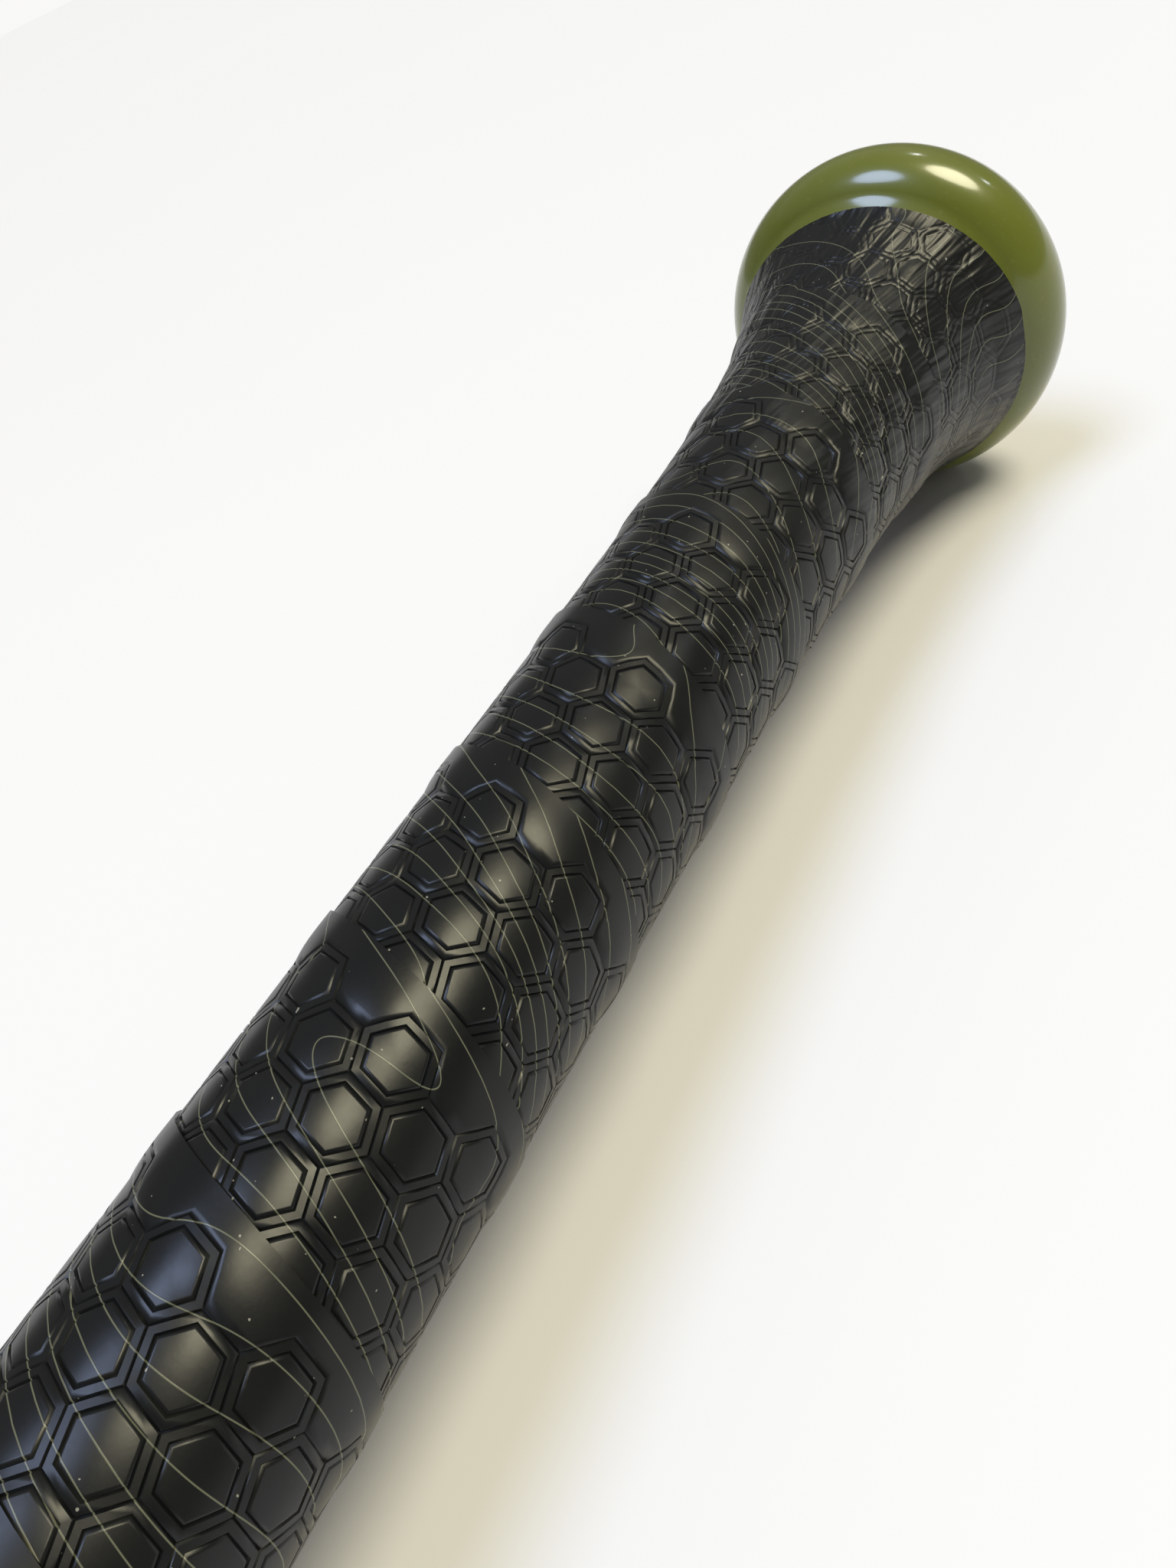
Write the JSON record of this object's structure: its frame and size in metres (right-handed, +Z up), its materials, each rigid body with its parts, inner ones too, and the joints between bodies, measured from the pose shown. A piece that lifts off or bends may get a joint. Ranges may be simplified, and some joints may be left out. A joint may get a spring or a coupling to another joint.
{
  "type": "baseball bat",
  "caption": "Two-piece baseball bat with a hollow barrel, a round painted knob and a long flared handle wound with embossed grip tape.",
  "frame": {"origin": "centre of the knob's end face", "axes": "+X along the bat's axis from the knob towards the barrel, +Z up with the bat lying on its side"},
  "size_m": [0.8382, 0.0666, 0.0666],
  "materials": {
    "knob_paint": "glossy olive green paint",
    "blank_disc": "satin black vinyl disc, blank",
    "plug_plastic": "moulded plastic",
    "cone_foam": "firm moulded elastomer",
    "grip_tape": "satin black embossed polymer tape with thin pale contour lines",
    "band_vinyl": "satin black vinyl finishing tape",
    "handle_composite": "satin clear-coated black composite",
    "plug_foam": "closed-cell foam",
    "collar_rubber": "matte black rubber",
    "sleeve_rubber": "cast urethane",
    "barrel_paint": "glossy olive green paint on aluminium",
    "ring_metal": "turned aluminium",
    "cap_plastic": "moulded black plastic"
  },
  "bodies": {
    "root": {"knob": "knob_paint", "knob_disc": "blank_disc", "knob_plug": "plug_plastic", "flare_cone": "cone_foam", "grip_tape": "grip_tape", "grip_end_band": "band_vinyl", "handle_tube": "handle_composite", "handle_end_plug": "plug_foam", "collar": "collar_rubber", "joint_sleeve": "sleeve_rubber", "barrel_shell": "barrel_paint", "barrel_ring": "ring_metal", "end_cap": "cap_plastic"}
  },
  "joints": []
}
